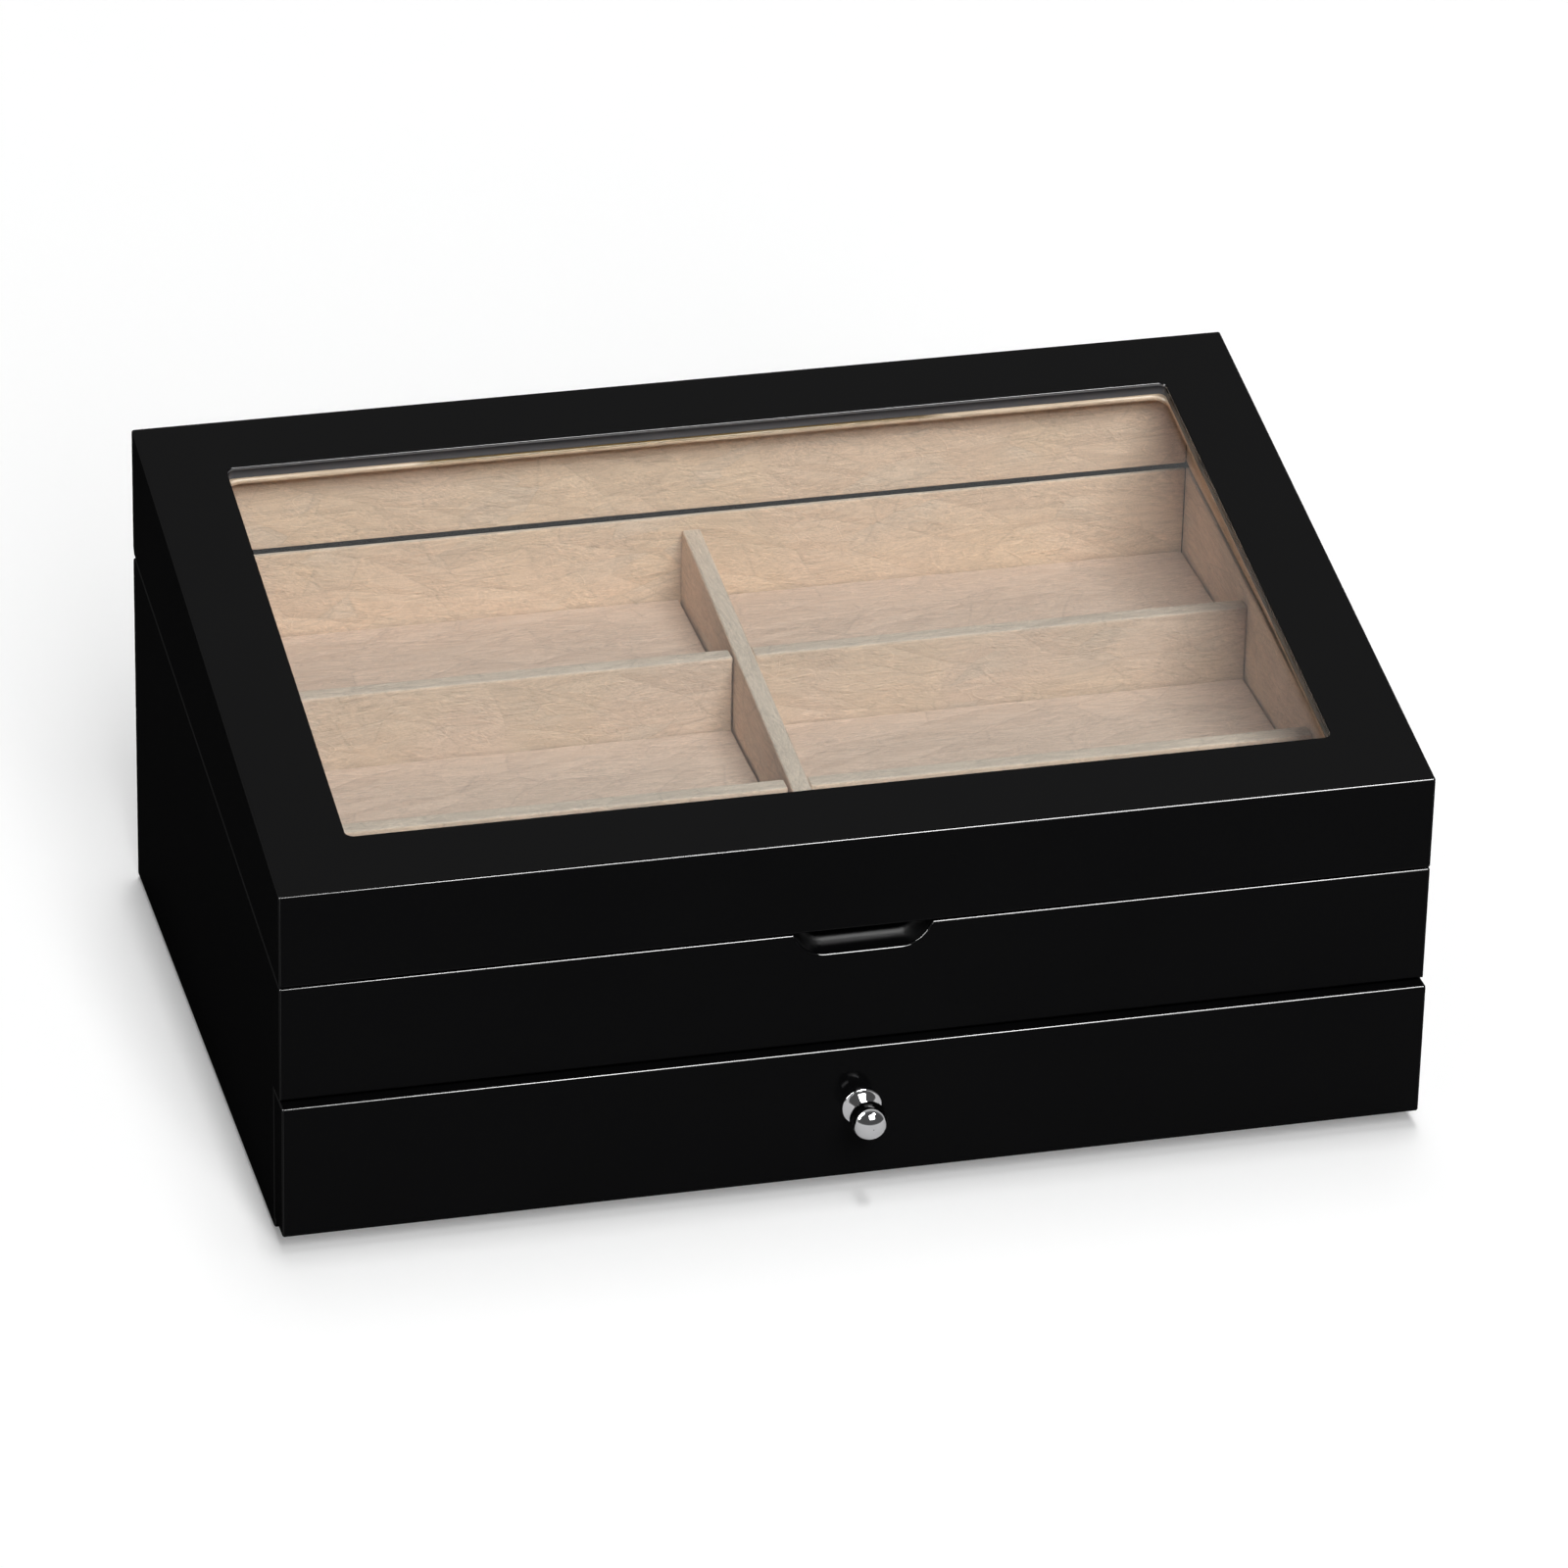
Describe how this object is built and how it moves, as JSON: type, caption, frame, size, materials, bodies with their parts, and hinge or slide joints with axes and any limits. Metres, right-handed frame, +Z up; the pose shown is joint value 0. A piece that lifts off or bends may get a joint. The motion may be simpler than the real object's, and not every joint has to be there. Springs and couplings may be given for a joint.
{
  "type": "eyeglasses storage box",
  "caption": "Slant-topped lacquered box for glasses: a glazed lid hinged at the back over a lined, stepped tray, with a shallow lined drawer below.",
  "frame": {"origin": "middle of the base of the body on the table, under the middle of the body's width and depth", "axes": "+X to the right seen from the front, -Y out of the drawer front, +Z up; the lid rises towards +Y"},
  "size_m": [0.35, 0.248, 0.1573],
  "materials": {
    "black_lacquer": "black satin lacquer over smooth board, softly reflective, edges slightly rounded",
    "suede_lining": "crushed beige faux suede with fine streaks and soft creases",
    "suede_covered_board": "stiff board wrapped in the same crushed beige faux suede",
    "window_glass": "clear float glass, polished",
    "knob_chrome": "polished chrome plate",
    "hinge_nickel": "nickel-plated steel",
    "screw_steel": "zinc-plated steel",
    "plain_board": "board, sealed black",
    "drawer_board": "thin board, sealed black",
    "base_felt": "black pressed felt"
  },
  "bodies": {
    "carcass": {"left_side_panel": "black_lacquer", "right_side_panel": "black_lacquer", "back_panel": "black_lacquer", "upper_front_panel": "black_lacquer", "middle_deck": "plain_board", "bottom_board": "plain_board", "base_felt": "base_felt", "drawer_stop_strip": "plain_board", "body_lining_left": "suede_lining", "body_lining_right": "suede_lining", "body_lining_front": "suede_lining", "body_lining_back": "suede_lining", "tray_centre_divider": "suede_covered_board", "tray_left_front_divider": "suede_covered_board", "tray_left_rear_divider": "suede_covered_board", "tray_right_front_divider": "suede_covered_board", "tray_right_rear_divider": "suede_covered_board", "tray_left_front_floor": "suede_covered_board", "tray_left_middle_floor": "suede_covered_board", "tray_left_back_floor": "suede_covered_board", "tray_right_front_floor": "suede_covered_board", "tray_right_middle_floor": "suede_covered_board", "tray_right_back_floor": "suede_covered_board", "front_row_battens": "plain_board", "middle_row_battens": "plain_board", "back_row_battens": "plain_board", "left_hinge_body_leaf": "hinge_nickel", "right_hinge_body_leaf": "hinge_nickel", "hinge_pins": "hinge_nickel", "body_hinge_screws": "screw_steel"},
    "lid": {"lid_top_frame": "black_lacquer", "lid_front_rail": "black_lacquer", "lid_back_rail": "black_lacquer", "lid_left_rail": "black_lacquer", "lid_right_rail": "black_lacquer", "glass_pane": "window_glass", "glass_retaining_frame": "suede_covered_board", "lid_lining_front": "suede_lining", "lid_lining_back": "suede_lining", "lid_lining_left": "suede_lining", "lid_lining_right": "suede_lining", "left_hinge_lid_leaf": "hinge_nickel", "right_hinge_lid_leaf": "hinge_nickel", "lid_hinge_screws": "screw_steel"},
    "drawer": {"drawer_front": "black_lacquer", "drawer_back": "drawer_board", "drawer_left_side": "drawer_board", "drawer_right_side": "drawer_board", "drawer_bottom": "drawer_board", "drawer_lining_front": "suede_lining", "drawer_lining_back": "suede_lining", "drawer_lining_left": "suede_lining", "drawer_lining_right": "suede_lining", "drawer_floor_pad": "suede_lining", "drawer_centre_divider": "suede_covered_board", "drawer_front_divider": "suede_covered_board", "drawer_rear_divider": "suede_covered_board", "drawer_knob": "knob_chrome", "knob_screw": "screw_steel"}
  },
  "joints": [
    {"name": "lid_hinge", "type": "hinge", "parent": "carcass", "child": "lid", "pos_m": [0, 0.1124, 0.11434], "axis": [-1, 0, 0], "range_deg": [0, 100]},
    {"name": "drawer_slide", "type": "slide", "parent": "carcass", "child": "drawer", "axis": [0, -1, 0], "range_m": [0, 0.18]}
  ]
}
